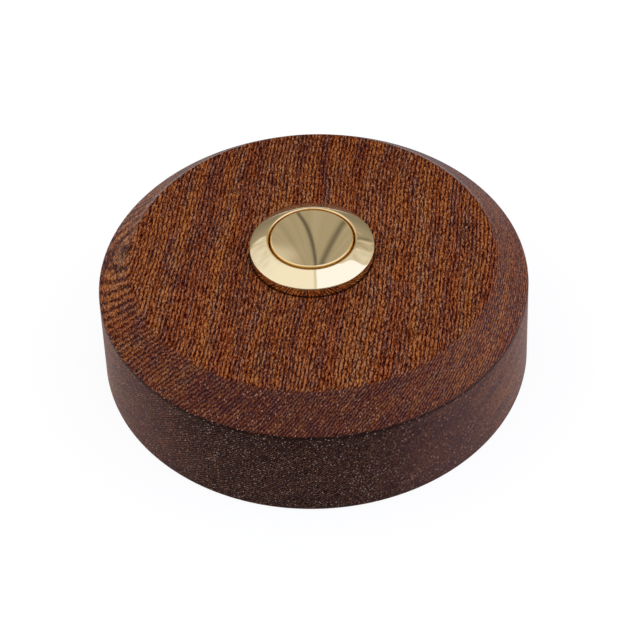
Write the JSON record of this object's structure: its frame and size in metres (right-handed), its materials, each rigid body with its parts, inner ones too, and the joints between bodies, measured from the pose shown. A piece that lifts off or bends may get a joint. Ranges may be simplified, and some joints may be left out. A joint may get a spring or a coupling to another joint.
{
  "type": "doorbell push button",
  "caption": "Round turned wood doorbell push with a sloped brass bezel and a dished brass button that springs back, closing two contacts when pressed; keyhole wall mount.",
  "frame": {"origin": "centre of the wood's rear rim, where the push meets the wall", "axes": "+Z out of the front, along the button's travel; +Y up the wall, towards the ends of the keyhole slots; +X to the right seen from the front"},
  "size_m": [0.078, 0.078, 0.0269],
  "materials": {
    "wood": "oiled satin, open pores",
    "polished_brass": "polished",
    "contact_brass": "plain stamped",
    "nut_brass": "turned",
    "black_rubber": "matt",
    "white_nylon": "moulded",
    "brown_phenolic": "moulded",
    "black_plastic": "fine spark texture",
    "spring_steel": "drawn wire",
    "plated_steel": "bright zinc plated"
  },
  "bodies": {
    "base": {"wood_base": "wood", "bezel_body": "polished_brass", "bezel_gasket": "black_rubber", "return_spring": "spring_steel", "switch_insert": "brown_phenolic", "insert_ring": "spring_steel", "left_contact_rivet": "contact_brass", "right_contact_rivet": "contact_brass", "left_terminal": "contact_brass", "right_terminal": "contact_brass", "terminal_screws": "plated_steel", "wire_clamps": "plated_steel", "nut_washer": "plated_steel", "panel_nut": "nut_brass", "rear_cover": "black_plastic", "cover_screws": "plated_steel", "cable_grommet": "black_rubber"},
    "button": {"button_cap": "polished_brass", "button_seal": "black_rubber", "plunger": "white_nylon", "contact_disc": "contact_brass", "disc_clip": "spring_steel"}
  },
  "joints": [
    {"name": "button_press", "type": "slide", "parent": "base", "child": "button", "axis": [0, 0, -1], "range_m": [0, 0.0016], "stiffness_N_per_m": 900, "springref_m": -0.003, "deforming": ["return_spring"]}
  ]
}
